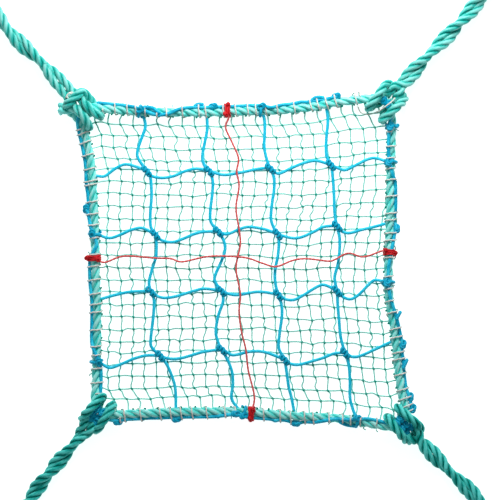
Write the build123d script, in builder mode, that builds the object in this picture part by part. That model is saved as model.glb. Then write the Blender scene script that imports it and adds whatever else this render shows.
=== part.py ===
from build123d import *
import os
from collections import namedtuple
from math import acos, ceil, cos, degrees, pi, radians, sin, tan

# Knotted rope net, laid flat. Millimetres, +Z up, the floor is Z = 0.
os.makedirs("parts", exist_ok=True)

# Driving dimensions
rope_d = 14.0  # border rope and tie ropes, three-strand
cord_d = 5.0  # coarse net and the cord along the border
marker_d = 3.4  # red marker cords
fine_d = 1.2  # fine net
lashing_d = 1.8  # twine that binds the edge cord to the border rope
coarse_knot = (9.6, 18.0)  # diameter, length
edge_knot = (9.0, 13.0)
marker_knot = (8.0, 10.0)
fine_knot_d = 2.8
fine_cells = 25
lashing_pitch = 19.5

rope_r = rope_d / 2
side_z = rope_r + lashing_d + 0.1  # border rope centre, along a side
corner_z = 1.5 * rope_d  # border rope centre, over a hitch
corner_rise = 90.0  # length over which a side comes down from its corner
fine_z = fine_d / 2 + 0.1
coarse_z = 2.2 * fine_d + cord_d / 2
marker_z = coarse_z + cord_d / 2 + marker_d / 2 + 0.3
net_rise = 45.0  # width over which the nets rise to the border

# Tie ropes: a cow hitch on each corner, then two legs twisted together
pivot_gap = 0.3
pivot_rest = 8.0  # length each side of the swing axis over which the legs lie one on the other
twist_r = 7.8
twist_step = 14.4
twist_z = rope_r + twist_r + 0.1
flipped_z = 2 * corner_z + 0.7  # a hitch tied from the other side is upside down about half of this

# Each corner: its place, the tie's direction in degrees, the half spacing of the hitch's two
# passes inside and outside the border, how far the hitch reaches inwards and outwards, how far
# the legs turn about each other in degrees between the swing axis and the hitch, the swing
# axis's distance, one turn of the legs beyond it, their length there and their sideways bow.
Corner = namedtuple("Corner", "place direction inner outer inward outward turn_in pivot pitch length bow")
corners = {
    "top_left": Corner((-256, 245), 132.0, 12.0, 19.0, 19.0, 29.0, 90, 113.0, 130.0, 129.0, 5.0),
    "top_right": Corner((231, 261.5), 48.0, 14.5, 19.5, 24.0, 26.0, 180, 104.0, 130.0, 152.0, -3.0),
    "bottom_right": Corner((258, -260), -46.0, 11.0, 16.0, 22.0, 28.0, 180, 113.0, 130.0, 95.0, 2.0),
    "bottom_left": Corner((-234, -240), 232.0, 10.5, 15.5, 19.0, 31.0, 60, 72.0, 108.0, 144.0, -3.0),
}

# Border rope, between corners, clockwise from the top left
side_points = {
    "top": [(-229, 251), (-171, 247), (-113, 246), (-61, 245), (2, 248), (56, 249),
            (110, 254), (150, 262), (191, 267)],
    "right": [(241, 215), (239, 153), (239, 90), (236, 18), (235, -52), (242, -87),
              (248, -129), (251, -170), (258, -220)],
    "bottom": [(212, -263), (181, -257), (139, -252), (83, -250), (12, -243),
               (-50, -242), (-113, -243), (-192, -246)],
    "left": [(-241, -202), (-240, -129), (-239, -66), (-242, -25), (-243, 7),
             (-243, 49), (-245, 90), (-247, 132), (-251, 174), (-258, 205)],
}
side_corners = {
    "top": ("top_left", "top_right"),
    "right": ("top_right", "bottom_right"),
    "bottom": ("bottom_right", "bottom_left"),
    "left": ("bottom_left", "top_left"),
}

# Coarse net, as the cords lie: rows from left to right, columns from top to bottom
row_points = [
    [(-240, 143), (-227, 142), (-209, 155), (-190, 161), (-159, 150), (-150, 142),
     (-134, 139), (-115, 142), (-96, 150), (-77, 154), (-57, 150), (-34, 144), (-9, 147),
     (25, 154), (43, 154), (56, 146), (77, 155), (97, 163), (118, 167), (142, 160),
     (156, 154), (166, 152), (181, 159), (201, 169), (216, 171), (239, 163)],
    [(-243, 51), (-230, 43), (-217, 41), (-200, 47), (-184, 54), (-166, 57), (-145, 46),
     (-134, 37), (-117, 34), (-101, 39), (-82, 47), (-65, 51), (-42, 51), (-28, 47),
     (-8, 55), (8, 59), (34, 55), (55, 47), (77, 41), (93, 42), (114, 51), (130, 59),
     (152, 60), (161, 51), (173, 49), (191, 54), (212, 59), (238, 66)],
    [(-241, -61), (-209, -52), (-184, -47), (-152, -47), (-142, -54), (-129, -57),
     (-109, -54), (-83, -46), (-64, -42), (-37, -46), (-23, -51), (-8, -52), (24, -47),
     (56, -52), (67, -59), (82, -60), (98, -52), (119, -39), (132, -36), (152, -46),
     (161, -55), (174, -59), (187, -52), (202, -37), (214, -28), (235, -32)],
    [(-239, -158), (-227, -168), (-217, -171), (-200, -165), (-179, -156), (-158, -151),
     (-137, -152), (-124, -156), (-106, -156), (-83, -150), (-65, -145), (-36, -142),
     (-21, -150), (-8, -149), (8, -145), (31, -145), (52, -152), (66, -158), (77, -165),
     (90, -166), (109, -161), (129, -155), (147, -148), (165, -147), (176, -153),
     (189, -152), (212, -142), (248, -125)],
]
column_points = [
    [(-171, 247), (-164, 238), (-161, 223), (-166, 207), (-173, 187), (-174, 174),
     (-166, 160), (-159, 150), (-153, 140), (-151, 111), (-153, 80), (-152, 59),
     (-145, 46), (-143, 28), (-144, 10), (-150, -10), (-155, -31), (-152, -47),
     (-147, -60), (-148, -86), (-152, -121), (-151, -137), (-137, -152), (-126, -166),
     (-117, -187), (-112, -207), (-111, -243)],
    [(-61, 245), (-60, 220), (-64, 197), (-68, 174), (-65, 160), (-57, 150), (-51, 134),
     (-52, 111), (-55, 86), (-54, 67), (-42, 51), (-33, 36), (-31, 21), (-37, 3),
     (-47, -20), (-47, -31), (-37, -46), (-34, -62), (-42, -86), (-46, -112),
     (-42, -130), (-36, -142), (-28, -156), (-20, -176), (-18, -197), (-20, -222),
     (-5, -243)],
    [(28, 249), (33, 236), (34, 215), (33, 191), (37, 170), (43, 154), (49, 139),
     (49, 119), (46, 99), (44, 73), (49, 57), (55, 47), (57, 31), (55, 10), (51, -10),
     (51, -31), (56, -52), (61, -67), (62, -86), (58, -116), (57, -139), (66, -158),
     (70, -181), (73, -202), (78, -222), (83, -250)],
    [(134, 257), (137, 233), (135, 210), (134, 191), (135, 174), (142, 160), (145, 140),
     (147, 111), (148, 82), (152, 60), (156, 41), (156, 20), (153, -3), (148, -24),
     (152, -46), (153, -67), (155, -91), (158, -121), (165, -147), (171, -166),
     (173, -191), (173, -218), (176, -233), (184, -257)],
]
knot_points = [
    [(-159, 150), (-57, 150), (43, 154), (142, 160)],
    [(-145, 46), (-42, 51), (55, 47), (152, 60)],
    [(-152, -47), (-37, -46), (56, -52), (152, -46)],
    [(-137, -152), (-36, -142), (66, -158), (165, -147)],
]
knot_lean = -35.0  # degrees from +X: the knots run down to the right

marker_column_points = [
    (-27, 249), (-25, 237), (-30, 221), (-20, 198), (-9, 171), (-12, 149), (-8, 126),
    (-13, 90), (-8, 55), (-6, 30), (-13, -8), (-6, -50), (-8, -79), (-4, -112),
    (3, -141), (7, -175), (17, -218), (12, -243),
]
marker_row_points = [
    (-243, 8), (-227, 1), (-196, 11), (-144, 8), (-119, 7), (-100, 2), (-55, 11),
    (0, 9), (29, 0), (52, -6), (79, 4), (102, 7), (137, 3), (149, 6), (170, 16),
    (195, 10), (226, 20), (236, 18),
]
border_tail_points = [(-262, 252), (-276, 249), (-300, 250)]


def along(direction):
    """Unit vector in the floor's plane at an angle in degrees."""
    return Vector(cos(radians(direction)), sin(radians(direction)), 0)


def save(node, name):
    node.part.label = name
    export_step(node.part, f"parts/{name}.step")


# Routes


def turn_at(before, here, after):
    return (here - before).get_angle(after - here)


def tidy_route(points, least_turn=0.6):
    """Drops the points at which a route hardly turns."""
    kept = [points[0]]
    for here, after in zip(points[1:-1], points[2:]):
        if turn_at(kept[-1], here, after) > least_turn:
            kept.append(here)
    return kept + [points[-1]]


def bend_radii(points):
    """The largest arc that each corner's two runs allow."""
    radii = []
    for before, here, after in zip(points, points[1:], points[2:]):
        shorter = min((here - before).length, (after - here).length)
        half_turn = radians(turn_at(before, here, after) / 2)
        radii.append(0.45 * shorter / tan(half_turn))
    return radii


def sweep_rope(points, diameter):
    """Sweeps a round rope along straight runs joined by tangent arcs, in the open part."""
    points = tidy_route([Vector(*p) for p in points])
    with BuildLine():
        path = FilletPolyline(*points, radius=bend_radii(points))
    with BuildSketch(Plane(origin=points[0], z_dir=points[1] - points[0])) as section:
        Circle(diameter / 2)
    sweep(section.sketch, path=path)
    return path.length


def rope_node(name, points, diameter):
    with BuildPart() as rope:
        length = sweep_rope(points, diameter)
    section = pi * diameter**2 / 4
    print(name, "length", round(length), "volume ratio", round(rope.part.volume / section / length, 3))
    save(rope, name)


# Border


def corner_point(name):
    return Vector(*corners[name].place, corner_z)


def border_height(point):
    """A side's rope centre: down on the floor, and up over a hitch at each corner."""
    here = Vector(point.X, point.Y)
    reach = min((here - Vector(*corner.place)).length for corner in corners.values())
    share = max(0.0, 1 - max(reach - 14, 0) / corner_rise)
    return side_z + (corner_z - side_z) * share**2


def side_route(side):
    """A side from corner to corner. Neighbours meet face to face, across the corner."""
    first, last = side_corners[side]
    points = [Vector(*p) for p in side_points[side]]
    ends = []
    for corner, near in ((first, points[0]), (last, points[-1])):
        centre = corner_point(corner)
        across = along(corners[corner].direction + 90) * 12
        nearest = min((centre + across, centre - across), key=lambda p: (p - near).length)
        ends.append([centre, nearest])
    middle = [Vector(p.X, p.Y, border_height(p)) for p in points]
    return ends[0] + middle + ends[1][::-1]


border_routes = {side: side_route(side) for side in side_points}


def nearest_border(x, y):
    """Distance to the border rope's centreline, and the rope's height there."""
    here = Vector(x, y)
    best = (1e9, side_z)
    for route in border_routes.values():
        for a, b in zip(route, route[1:]):
            run = Vector(b.X - a.X, b.Y - a.Y)
            share = (here - Vector(a.X, a.Y)).dot(run) / run.length**2
            share = min(1.0, max(0.0, share))
            gap = (here - Vector(a.X, a.Y) - run * share).length
            if gap < best[0]:
                best = (gap, a.Z + (b.Z - a.Z) * share)
    return best


def net_height(x, y, rest, lift=0.0):
    """A net cord's centre: at rest on the floor inside, and rising to the border."""
    gap, rope_z = nearest_border(x, y)
    share = max(0.0, 1 - gap / net_rise) ** 2
    return rest + (rope_z + lift - rest) * share


def lay(points, rest, lift=0.0):
    return [(x, y, net_height(x, y, rest, lift)) for x, y in points]


def frame_on(route, distance):
    """Point, direction and outward side of a route at a distance along its runs."""
    for a, b in zip(route, route[1:]):
        run = (b - a).length
        if distance <= run:
            break
        distance -= run
    forward = (b - a).normalized()
    outward = Vector(-forward.Y, forward.X, 0).normalized()
    return a + forward * distance, forward, outward


def route_length(route):
    return sum((b - a).length for a, b in zip(route, route[1:]))


def edge_cord_route(side):
    """The cord that lies against the rope's outer side, clear of the hitches."""
    route = border_routes[side]
    length = route_length(route)
    points = []
    steps = 11
    for step in range(steps):
        distance = 34 + (length - 68) * step / (steps - 1)
        here, _, outward = frame_on(route, distance)
        rise = 1.0 + 0.5 * sin(2.3 * step)
        points.append(here + outward * (rope_r + cord_d / 2 + 0.1) + Vector(0, 0, rise))
    return points


# One wrap of lashing twine, round the border rope and its edge cord, lying in XY
cord_gap = rope_r + cord_d / 2
wrap_big = rope_r + lashing_d / 2
wrap_small = (cord_d + lashing_d) / 2
wrap_touch = degrees(acos((wrap_big - wrap_small) / cord_gap))
with BuildPart() as wrap:
    with BuildLine() as loop:
        big = CenterArc((-cord_gap / 2, 0), wrap_big, wrap_touch, 360 - 2 * wrap_touch)
        small = CenterArc((cord_gap / 2, 0), wrap_small, -wrap_touch, 2 * wrap_touch)
        Line(big @ 1, small @ 0)
        Line(small @ 1, big @ 0)
    with BuildSketch(Plane(origin=big @ 0, z_dir=big % 0)):
        Circle(lashing_d / 2)
    sweep()


def build_lashing(side):
    """One wrap of twine after another, along a side and clear of its hitches."""
    route = border_routes[side]
    length = route_length(route)
    count = int((length - 90) // lashing_pitch)
    places = []
    for step in range(count + 1):
        here, forward, outward = frame_on(route, 45 + (length - 90) * step / count)
        middle = here + outward * (cord_gap / 2) + Vector(0, 0, 0.4)
        places.append(Plane(origin=middle, x_dir=outward, z_dir=forward))
    with BuildPart() as wraps:
        with Locations(*places):
            add(wrap.part)
    save(wraps, f"lashing_{side}")


for side, route in border_routes.items():
    rope_node(f"border_rope_{side}", route, rope_d)
    rope_node(f"edge_cord_{side}", edge_cord_route(side), cord_d)
    build_lashing(side)
rope_node("border_rope_tail", [(x, y, corner_z + 2) for x, y in border_tail_points], rope_d)


# Coarse net


def knot_group(name, places, size, lean):
    """Knots as short round-ended rolls: a place is x, y and z."""
    diameter, length = size
    with BuildPart() as knots:
        for x, y, z in places:
            with Locations(Plane(origin=(x, y, z), z_dir=along(lean))):
                Cylinder(diameter / 2, length)
        fillet(knots.edges().filter_by(GeomType.CIRCLE), diameter / 2 - 0.4)
    save(knots, name)


for number, points in enumerate(row_points, 1):
    rope_node(f"mesh_row_{number}", lay(points, coarse_z), cord_d)
for number, points in enumerate(column_points, 1):
    rope_node(f"mesh_column_{number}", lay(points, coarse_z), cord_d)

mesh_knots = [(x, y, coarse_knot[0] / 2 + 0.2) for row in knot_points for x, y in row]
knot_group("mesh_knots", mesh_knots, coarse_knot, knot_lean)

cord_ends = [points[end] for points in row_points + column_points for end in (0, -1)]
edge_knots = [(x, y, nearest_border(x, y)[1] + rope_r) for x, y in cord_ends]
knot_group("edge_knots", edge_knots, edge_knot, knot_lean)


# Fine net


def side_at(side, share):
    """A border side's centreline as a place in plan, at a share of its length."""
    here, _, _ = frame_on(border_routes[side], share * route_length(border_routes[side]))
    return Vector(here.X, here.Y)


def fine_node(i, j):
    """Where fine column i crosses fine row j, each counted from 0 at the bottom left."""
    u = i / fine_cells
    v = j / fine_cells
    top, bottom = side_at("top", u), side_at("bottom", 1 - u)
    left, right = side_at("left", v), side_at("right", 1 - v)
    low = side_at("left", 0) * (1 - u) + side_at("right", 1) * u
    high = side_at("left", 1) * (1 - u) + side_at("right", 0) * u
    place = top * v + bottom * (1 - v) + left * (1 - u) + right * u - low * (1 - v) - high * v
    slack = 1.6 * min(1, 5 * u * (1 - u)) * min(1, 5 * v * (1 - v))
    return place + Vector(slack * sin(2.7 * i + 1.9 * j), slack * sin(1.3 * i - 3.1 * j))


route_stops = [0.3, 1, 3, 6, 9, 12, 15, 18, 21, 24, 24.7]


def build_fine_twines(name, place, rest):
    """One twine for each line of knots between two sides of the border."""
    with BuildPart() as twines:
        for line in range(1, fine_cells):
            points = [place(stop, line) for stop in route_stops]
            sweep_rope([(p.X, p.Y, net_height(p.X, p.Y, rest)) for p in points], fine_d)
    save(twines, name)


build_fine_twines("fine_rows", fine_node, fine_z)
build_fine_twines("fine_columns", lambda stop, line: fine_node(line, stop), fine_z + 0.6 * fine_d)

fine_knots = []
for i in range(1, fine_cells):
    for j in range(1, fine_cells):
        knot = fine_node(i, j)
        fine_knots.append((knot.X, knot.Y, net_height(knot.X, knot.Y, fine_knot_d / 2 + 0.05)))
with BuildPart() as knots:
    with Locations(*fine_knots):
        Sphere(fine_knot_d / 2)
save(knots, "fine_knots")


# Red marker cords, tied over the border

marker_lift = rope_r + marker_d / 2
rope_node("marker_column", lay(marker_column_points, marker_z, marker_lift), marker_d)
rope_node("marker_row", lay(marker_row_points, marker_z + marker_d + 0.3, marker_lift), marker_d)
marker_ends = [points[end] for points in (marker_column_points, marker_row_points) for end in (0, -1)]
marker_knots = [(x, y, nearest_border(x, y)[1] + marker_lift) for x, y in marker_ends]
knot_group("marker_knots", marker_knots, marker_knot, 80.0)


# Tie ropes


def twisted(corner, phase, reach):
    """A leg's sideways and upward place, a distance beyond or before the swing axis."""
    turn = 360 * max(0, abs(reach) - pivot_rest) / corner.pitch
    if reach < 0:
        turn = -min(turn, corner.turn_in)
    angle = radians(phase + turn)
    return twist_r * cos(angle), twist_z + twist_r * sin(angle)


def hitch_half(corner, phase):
    """Half a cow hitch as (along the tie, sideways, up), from the swing axis to the cross-bar."""
    stop = corner.pivot - rope_r - pivot_gap
    knot = corner.outward + 15
    steps = max(1, round((stop - knot) / twist_step))
    run_in = []
    for step in range(steps + 1):
        reach = stop + (knot - stop) * step / steps
        run_in.append((reach, *twisted(corner, phase, reach - corner.pivot)))
    # A whole half turn between the axis and the hitch brings each leg to its other side.
    side = -1 if phase < 0 else 1
    if corner.turn_in > 120:
        side = -side
    leg = rope_r + 0.2
    bar = corner.outward
    around = [
        (bar + 3, leg, 21.8),
        (bar - 6, leg, 19.0),
        (8, leg + 0.4, 7.1),
        (-8, leg + 1, 7.1),
        (-corner.inward, corner.inner, 14),
        (-corner.inward, corner.inner + 1, 28),
        (-7, (corner.inner + corner.outer) / 2, 35.5),
        (8, corner.outer - 1, 35),
        (bar - 9, corner.outer, 26),
        (bar, corner.outer - 2, 14),
        (bar, corner.outer / 2, 7.3),
    ]
    return run_in, [(d, side * e, z) for d, e, z in around]


def build_tie(name):
    corner = corners[name]
    forward = along(corner.direction)
    aside = along(corner.direction + 90)

    def place(d, e, z):
        return Vector(*corner.place) + forward * d + aside * e + Vector(0, 0, z)

    halves = []
    for phase in (-90.0, 90.0):
        run_in, around = hitch_half(corner, phase)
        if name == "top_left":
            # Tied from the other side: the cross-bar lies on top of the legs.
            around = [(d, e, flipped_z - z) for d, e, z in around]
        halves.append([place(*p) for p in run_in + around])
    rope_node(f"tie_hitch_{name}", halves[0] + halves[1][::-1], rope_d)

    for leg, phase in (("low", -90.0), ("high", 90.0)):
        points = []
        steps = ceil(corner.length / twist_step)
        for step in range(steps + 1):
            reach = corner.length * step / steps
            sideways, up = twisted(corner, phase, reach)
            bowed = sideways + corner.bow * sin(pi * reach / corner.length)
            points.append(place(corner.pivot + reach, bowed, up))
        radii = bend_radii(tidy_route(points))
        print(name, leg, "bend radii", [round(r) for r in radii])
        with BuildPart() as rope:
            rope_length = sweep_rope(points, rope_d)
            backwards = points[0] - points[1]
            with Locations(Plane(origin=points[0], z_dir=backwards)):
                Sphere(rope_r, arc_size1=0)
        print(name, leg, "length", round(rope_length))
        save(rope, f"tie_leg_{leg}_{name}")


for corner_name in corners:
    build_tie(corner_name)
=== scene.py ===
"""A knotted rope net with a tie rope at each corner, lying on a pale floor."""
import math
import random
from collections import namedtuple
import bpy
import numpy as np
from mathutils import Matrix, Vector


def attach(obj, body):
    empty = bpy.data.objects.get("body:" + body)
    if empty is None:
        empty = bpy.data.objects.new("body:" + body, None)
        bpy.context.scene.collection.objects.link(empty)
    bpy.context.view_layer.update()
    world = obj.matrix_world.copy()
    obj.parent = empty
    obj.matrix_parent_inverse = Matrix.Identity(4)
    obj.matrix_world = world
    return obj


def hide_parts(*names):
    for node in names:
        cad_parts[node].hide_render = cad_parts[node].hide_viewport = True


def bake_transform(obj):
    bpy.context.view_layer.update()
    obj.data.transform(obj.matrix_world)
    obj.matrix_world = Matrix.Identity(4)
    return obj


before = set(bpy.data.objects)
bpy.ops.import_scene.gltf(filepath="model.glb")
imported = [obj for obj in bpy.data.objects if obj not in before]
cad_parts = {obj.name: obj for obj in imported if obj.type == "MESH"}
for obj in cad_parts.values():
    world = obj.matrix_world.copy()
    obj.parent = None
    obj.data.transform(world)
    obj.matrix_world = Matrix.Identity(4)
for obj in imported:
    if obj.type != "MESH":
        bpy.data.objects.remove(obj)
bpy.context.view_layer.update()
MM = 0.001
CHANCE = random.Random(11)

# ---------------------------------------------------------------- dimensions, millimetres

ROPE_D = 14.0
ROPE_OVER_STRANDS = 15.0  # across the crests of the strands
ROPE_LAY = 53.0  # length of one turn of a strand
STRANDS = 3
STRAND_YARNS = 9
SPLAY_LENGTH = 16.0  # of a rope's end, over which its strands may spread
CORD_D = 5.2
TIGHT_CORD_D = 0.9 * CORD_D  # where it is pulled tight in a knot
MESH_KNOT_CORD_D = 0.94 * CORD_D
MESH_KNOT_LENGTH = 13.0
MESH_KNOT_LEAN = -50  # degrees from the net's right
EYE_KNOT_SHIFT = 4.6  # of each of a hitch eye's two knots, from their middle
EDGE_CORD_D = 6.0
EDGE_CORD_SINK = 1.3  # into the grooves between the rope's strands
MARKER_D = 3.4
MARKER_TURNS = 3  # round the border, at each end
MARKER_KNOT_LENGTH = 9.0
FINE_D = 2.8
FINE_CELLS = 25
FINE_SLACK = 1.6
FINE_JITTER = 0.8
FINE_KNOT_CORD_D = 2.0
FINE_KNOT_LEANS = (-50, -80, -35)
FINE_END_CORD_D = 1.75  # of the knots round the border
FINE_END_ANGLE = 168  # their place round the rope, in degrees as for EDGE_CORDS
FINE_END_GAP = 30.0  # between them and a side's corners
TUFT_CHANCE = 0.45
TUFT_R = 0.8
LASHING_D = 2.5
LASHING_SLANT = 3.0  # of a wrap, across the top of the rope
LASHING_ROOM = 1.9  # under the border's ropes
FLOOR_GAP = 0.08
FLOOR_ROOM = 0.2  # added to the diameter of a cord that passes near the floor

ROPE_R = ROPE_D / 2
SIDE_Z = ROPE_R + LASHING_ROOM
CORNER_Z = 1.5 * ROPE_D
CORNER_RISE = 90.0
CORNER_FLAT = 14.0
FINE_Z = 1.1
FINE_KNOT_Z = 1.9
COARSE_Z = 5.2
MARKER_Z = 9.8
NET_RISE = 45.0
FIRST_GAP = 4.0  # from a side's first corner to where the distances along it start
EDGE_CORD_REACH = ROPE_R + EDGE_CORD_D / 2 - EDGE_CORD_SINK

PIVOT_REST = 8.0
TWIST_R = 6.7
TWIST_STEP = 14.4
TWIST_Z = 14.9
FLIPPED_Z = 2 * CORNER_Z + 0.7
BLEND_BACK = 10.0
BLEND_ON = 18.0

# Each corner: place, the tie's direction, half spacing of the hitch's passes inside and
# outside, its reach inwards and outwards, the legs' turn between the swing axis and the
# hitch, the axis's distance, one turn of the legs, their length and their bow
Corner = namedtuple("Corner", "place direction inner outer inward outward turn_in pivot pitch length bow")
CORNERS = {
    "top_left": Corner((-256, 245), 132.0, 12.0, 19.0, 19.0, 29.0, 90, 113.0, 130.0, 129.0, 5.0),
    "top_right": Corner((231, 261.5), 48.0, 14.5, 19.5, 24.0, 26.0, 180, 104.0, 130.0, 152.0, -3.0),
    "bottom_right": Corner((258, -260), -46.0, 11.0, 16.0, 22.0, 28.0, 180, 113.0, 130.0, 95.0, 2.0),
    "bottom_left": Corner((-234, -240), 232.0, 10.5, 15.5, 19.0, 31.0, 60, 72.0, 108.0, 144.0, -3.0),
}
SIDE_POINTS = {
    "top": [(-229, 251), (-171, 247), (-113, 246), (-61, 245), (2, 248), (56, 249),
            (110, 254), (150, 262), (191, 267)],
    "right": [(241, 215), (239, 153), (239, 90), (236, 18), (235, -52), (242, -87),
              (248, -129), (251, -170), (258, -220)],
    "bottom": [(212, -263), (181, -257), (139, -252), (83, -250), (12, -243),
               (-50, -242), (-113, -243), (-192, -246)],
    "left": [(-241, -202), (-240, -129), (-239, -66), (-242, -25), (-243, 7),
             (-243, 49), (-245, 90), (-247, 132), (-251, 174), (-258, 205)],
}
SIDE_CORNERS = {
    "top": ("top_left", "top_right"),
    "right": ("top_right", "bottom_right"),
    "bottom": ("bottom_right", "bottom_left"),
    "left": ("bottom_left", "top_left"),
}
BORDER_TAIL = [(-262, 252), (-276, 249), (-300, 250)]

# The cord along the border, by side: how far along, where round the rope in degrees (0 outside,
# 90 on top, 180 inside), and how far it stands off
EDGE_CORDS = {
    "top": [(14, 5, 0), (28, 8, 0), (43, 12, 0), (60, 25, 0), (76, 45, 0), (86, 75, 1), (96, 95, 0),
            (108, 118, 0), (120, 128, 0), (134, 105, 0), (150, 55, 0), (168, 25, 0), (190, 25, 0),
            (205, 30, 1.5), (215, 15, 0), (255, 10, 0), (275, 8, 0), (290, 40, 0), (300, 60, 0),
            (316, 30, 0), (336, 15, 0), (348, 5, 1.5), (362, 8, 0), (380, 5, 0), (395, 15, 0),
            (409, 20, 1), (414, 12, 0)],
    "right": [(18, 100, 0), (33, 110, 1), (50, 125, 0), (75, 125, 0), (90, 115, 0), (103, 95, 0),
              (118, 70, 0), (130, 30, 0), (150, 15, 0), (172, 5, 0), (185, -25, 0), (196, -5, 0),
              (204, 15, 2.5), (214, 20, 0), (226, 40, 0), (240, 60, 0), (262, 85, 0), (280, 95, 0),
              (300, 90, 0), (322, 75, 0), (345, 50, 0), (360, 35, 0), (375, 15, 0), (395, 12, 1.2),
              (408, 10, 0), (425, 15, 1), (440, -5, 0), (455, -15, 0), (470, 5, 0), (483, 5, 2),
              (495, 0, 2), (505, 10, 0)],
    "bottom": [(20, 130, 0), (44, 150, 0), (60, 140, 0), (75, 110, 0), (92, 90, 0), (110, 85, 0),
               (126, 55, 0), (142, 15, 0), (158, 0, 0), (166, -5, 2.5), (172, 0, 4), (179, -5, 2.5),
               (186, 0, 0), (200, 5, 0), (206, 5, 2), (213, 5, 0), (240, 5, 0), (252, 20, 0),
               (262, 60, 1), (276, 60, 0), (290, 45, 0), (306, 20, 0), (330, 5, 0), (358, 5, 0),
               (368, 0, 2), (376, 0, 0), (395, 0, 0), (415, -15, 0), (430, 0, 0), (448, 5, 0),
               (460, 5, 1), (470, 10, 1), (480, 20, 0)],
    "left": [(16, 150, 0), (28, 165, 0), (50, 165, 0), (67, 150, 0), (80, 115, 0), (93, 80, 0),
             (106, 35, 0), (120, 10, 0), (150, 3, 0), (180, 3, 0), (210, 0, 1), (243, 5, 0),
             (256, 70, 0), (270, 110, 0), (286, 80, 0), (298, 45, 0), (312, 20, 0), (326, 5, 2),
             (334, 0, 0), (352, 0, 0), (372, 0, 1.5), (400, 0, 0), (430, 3, 0), (452, 5, 0),
             (470, 20, 0), (480, 30, 0)],
}
# Loose ends and doubled stretches of blue cord along the border, told in the same way
EDGE_TAILS = [
    ("top", [(90, 45, 1), (98, 38, 0), (107, 50, 0), (114, 90, 1), (119, 110, 0)]),
    ("top", [(173, 20, 1), (180, 5, 5), (190, 8, 4.5)]),
    ("top", [(366, 10, 1), (373, 5, 5), (381, 5, 5), (390, 12, 2)]),
    ("right", [(41, 60, 2), (38, 40, 2.5), (36, 25, 4)]),
    ("right", [(356, 60, 0), (349, 30, 3), (343, 10, 7)]),
    ("right", [(436, 40, 0), (428, 20, 4), (420, 5, 8)]),
    ("left", [(318, 25, 0), (327, 8, 4), (335, 0, 8)]),
    ("bottom", [(102, 60, 0), (90, 15, 0), (78, 5, 0), (70, 20, 0)]),
]
# Knots of blue cord on the border: side, distance, angle, stand-off and whether turns go round
EDGE_KNOTS = [
    ("top", 86, 78, 1.5, True), ("top", 284, 55, 1.5, True), ("top", 205, 25, 1, False),
    ("top", 408, 15, 1, False), ("right", 39, 105, 1, True), ("right", 97, 108, 1.5, True),
    ("right", 205, 15, 2.5, False), ("right", 293, 102, 1.5, True), ("right", 396, 12, 2, False),
    ("right", 484, 3, 3, False), ("right", 503, 8, 2.5, False), ("bottom", 73, 118, 1.5, True),
    ("bottom", 172, -5, 2.5, False), ("bottom", 258, 62, 1.5, True), ("bottom", 271, 75, 1, False),
    ("bottom", 368, 0, 2, False), ("bottom", 464, 0, 2.5, False), ("left", 79, 115, 1.5, True),
    ("left", 288, 70, 1.5, True), ("left", 329, 5, 3, False),
]
# Knots of blue cord seen through the hitches' eyes: corner, sideways, inward and up
EYE_KNOTS = [
    ("top_right", 0, 1, 1.5), ("bottom_right", -3, 8, 1.5), ("bottom_right", -2, -4, 0),
    ("bottom_right", 0, -13, -6), ("bottom_left", 0, 1, 0), ("bottom_left", 0, -9, -5),
    ("bottom_left", 0, -18, -7), ("top_left", 0, -3, -6),
]
# Where the lashing twine comes over the top of each side, along it
LASHINGS_AT = {
    "top": [25, 45, 65, 79, 94, 113, 129, 155, 182, 193, 222, 242, 262, 275, 291, 310, 338, 365,
            377, 391, 406, 439],
    "right": [47, 71, 90, 107, 125, 152, 180, 191, 212, 224, 252, 283, 303, 323, 342, 369, 383,
              408, 419, 444, 469, 484, 497],
    "bottom": [41, 68, 84, 97, 119, 145, 159, 182, 199, 226, 250, 272, 289, 319, 343, 361, 378,
               395, 427, 453],
    "left": [27, 45, 68, 90, 104, 131, 160, 173, 190, 213, 235, 254, 281, 302, 320, 340, 368,
             374, 394, 417, 438, 453],
}
# Where the lashing twine's ends run over the corners, as places in space
LASHING_ENDS = {
    "top": [[(185, 256, 16), (190, 246, 10), (198, 243, 8), (208, 243, 12), (219, 247, 28), (230, 254, 39),
             (240, 262, 39), (245, 268, 30)],
            [(-290, 268, 22), (-283, 275, 34), (-275, 271, 31), (-281, 264, 34), (-287, 271, 33),
             (-279, 277, 30), (-270, 268, 24)]],
}

ROW_POINTS = [
    [(-249, 141), (-240, 142), (-227, 142), (-209, 155), (-190, 161), (-159, 150), (-150, 142),
     (-134, 139), (-115, 142), (-96, 150), (-77, 154), (-57, 150), (-34, 144), (-9, 147),
     (25, 154), (43, 154), (56, 146), (77, 155), (97, 163), (118, 167), (142, 160),
     (156, 154), (166, 152), (181, 159), (201, 169), (216, 171), (239, 163)],
    [(-243, 51), (-230, 43), (-217, 41), (-200, 47), (-184, 54), (-166, 57), (-145, 46),
     (-134, 37), (-117, 34), (-101, 39), (-82, 47), (-65, 51), (-42, 51), (-28, 47),
     (-8, 55), (8, 59), (34, 55), (55, 47), (77, 41), (93, 42), (114, 51), (130, 59),
     (152, 60), (161, 51), (173, 49), (191, 54), (212, 59), (238, 66)],
    [(-241, -61), (-209, -52), (-184, -47), (-152, -47), (-142, -54), (-129, -57),
     (-109, -54), (-83, -46), (-64, -42), (-37, -46), (-23, -51), (-8, -52), (24, -47),
     (56, -52), (67, -59), (82, -60), (98, -52), (119, -39), (132, -36), (152, -46),
     (161, -55), (174, -59), (187, -52), (202, -37), (214, -28), (235, -32)],
    [(-239, -158), (-227, -168), (-217, -171), (-200, -165), (-179, -156), (-158, -151),
     (-137, -152), (-124, -156), (-106, -156), (-83, -150), (-65, -145), (-36, -142),
     (-21, -150), (-8, -149), (8, -145), (31, -145), (52, -152), (66, -158), (77, -165),
     (90, -166), (109, -161), (129, -155), (147, -148), (165, -147), (176, -153),
     (189, -152), (212, -142), (248, -125)],
]
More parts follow.
